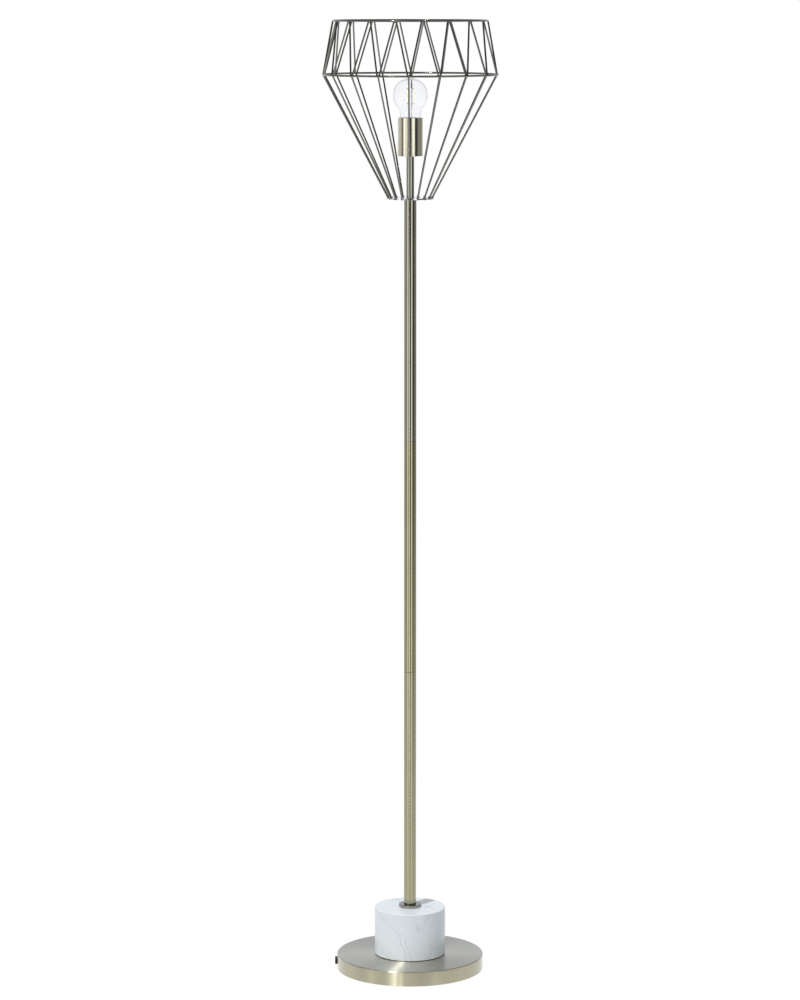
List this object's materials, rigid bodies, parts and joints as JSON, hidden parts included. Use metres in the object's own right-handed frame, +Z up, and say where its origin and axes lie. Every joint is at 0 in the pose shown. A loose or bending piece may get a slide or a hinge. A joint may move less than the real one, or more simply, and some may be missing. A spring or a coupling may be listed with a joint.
{
  "type": "wire cage floor lamp",
  "caption": "Floor lamp: a round base and marble block carry a slim three-part pole, a cup with a bulb, and an open cage of straight wires that widens to a hoop and draws in above it.",
  "frame": {"origin": "centre of the base's underside, on the floor under the pole", "axes": "+Z up along the pole, -Y the lamp's front, -X the side where the cable gland is"},
  "size_m": [0.3039, 0.3038, 1.6625],
  "materials": {
    "floor_pad": "black foam rubber, matt",
    "plain_steel": "zinc-plated steel",
    "concrete": "cast concrete, rough",
    "base_brass": "brushed antique brass plating on spun steel",
    "black_plastic": "black moulded plastic",
    "white_plastic": "white moulded plastic",
    "dark_rubber": "dark rubber ring",
    "marble": "honed white marble with faint grey veins",
    "collar_brass": "dark antique brass plating on steel",
    "pole_brass": "satin antique brass plating on steel tube",
    "cup_brass": "satin antique brass plating on steel",
    "cage_brass": "antique brass plating on steel wire",
    "turned_brass": "bare turned brass",
    "porcelain": "white porcelain",
    "solder": "dull solder",
    "cap_metal": "nickel-plated screw cap",
    "black_glass": "black glass insulator",
    "bulb_glass": "clear blown glass",
    "filament": "pale yellow coated filament",
    "wire_insulation": "insulated wires"
  },
  "bodies": {
    "stand": {"base_pad": "floor_pad", "base_bottom_plate": "plain_steel", "base_plate_screws": "plain_steel", "base_weight": "concrete", "base_cover": "base_brass", "cable_gland": "black_plastic", "terminal_block": "white_plastic", "terminal_screws": "plain_steel", "block_screws": "plain_steel", "tie_rod": "plain_steel", "tie_rod_nut": "plain_steel", "tie_rod_washer": "plain_steel", "marble_gasket": "dark_rubber", "marble_block": "marble", "pole_collar": "collar_brass", "pole_lower": "pole_brass", "pole_middle": "pole_brass", "pole_upper": "pole_brass", "pole_bottom_bush": "plain_steel", "pole_top_bush": "plain_steel", "pole_joint_sockets": "turned_brass", "pole_joint_studs": "turned_brass", "hub_plate": "cage_brass", "middle_hoop": "cage_brass", "top_hoop": "cage_brass", "rib_01": "cage_brass", "rib_02": "cage_brass", "rib_03": "cage_brass", "rib_04": "cage_brass", "rib_05": "cage_brass", "rib_06": "cage_brass", "rib_07": "cage_brass", "rib_08": "cage_brass", "rib_09": "cage_brass", "rib_10": "cage_brass", "rib_11": "cage_brass", "rib_12": "cage_brass", "rib_13": "cage_brass", "rib_14": "cage_brass", "rib_15": "cage_brass", "rib_16": "cage_brass", "rib_17": "cage_brass", "rib_18": "cage_brass", "zigzag_wires_left": "cage_brass", "zigzag_wires_right": "cage_brass", "neck_nipples": "plain_steel", "neck_tube": "cup_brass", "lamp_cup": "cup_brass", "holder_body": "porcelain", "holder_shell": "turned_brass", "holder_contact": "turned_brass", "holder_terminals": "turned_brass", "inner_wires": "wire_insulation"},
    "bulb_slider": {"bulb_contact_tip": "solder"},
    "bulb": {"bulb_cap": "cap_metal", "bulb_insulator": "black_glass", "bulb_glass": "bulb_glass", "bulb_stem": "bulb_glass", "bulb_filaments": "filament", "bulb_leads": "turned_brass"}
  },
  "joints": [
    {"name": "bulb_lift", "type": "slide", "parent": "stand", "child": "bulb_slider", "axis": [0, 0, 1], "range_m": [0, 0.01815]},
    {"name": "bulb_turn", "type": "hinge", "parent": "bulb_slider", "child": "bulb", "pos_m": [0, 0, 1.458], "axis": [0, 0, 1], "range_deg": [0, 1800]}
  ],
  "couplings": [
    {"joint": "bulb_lift", "follows": "bulb_turn", "m_per_rad": 0.00057751}
  ]
}
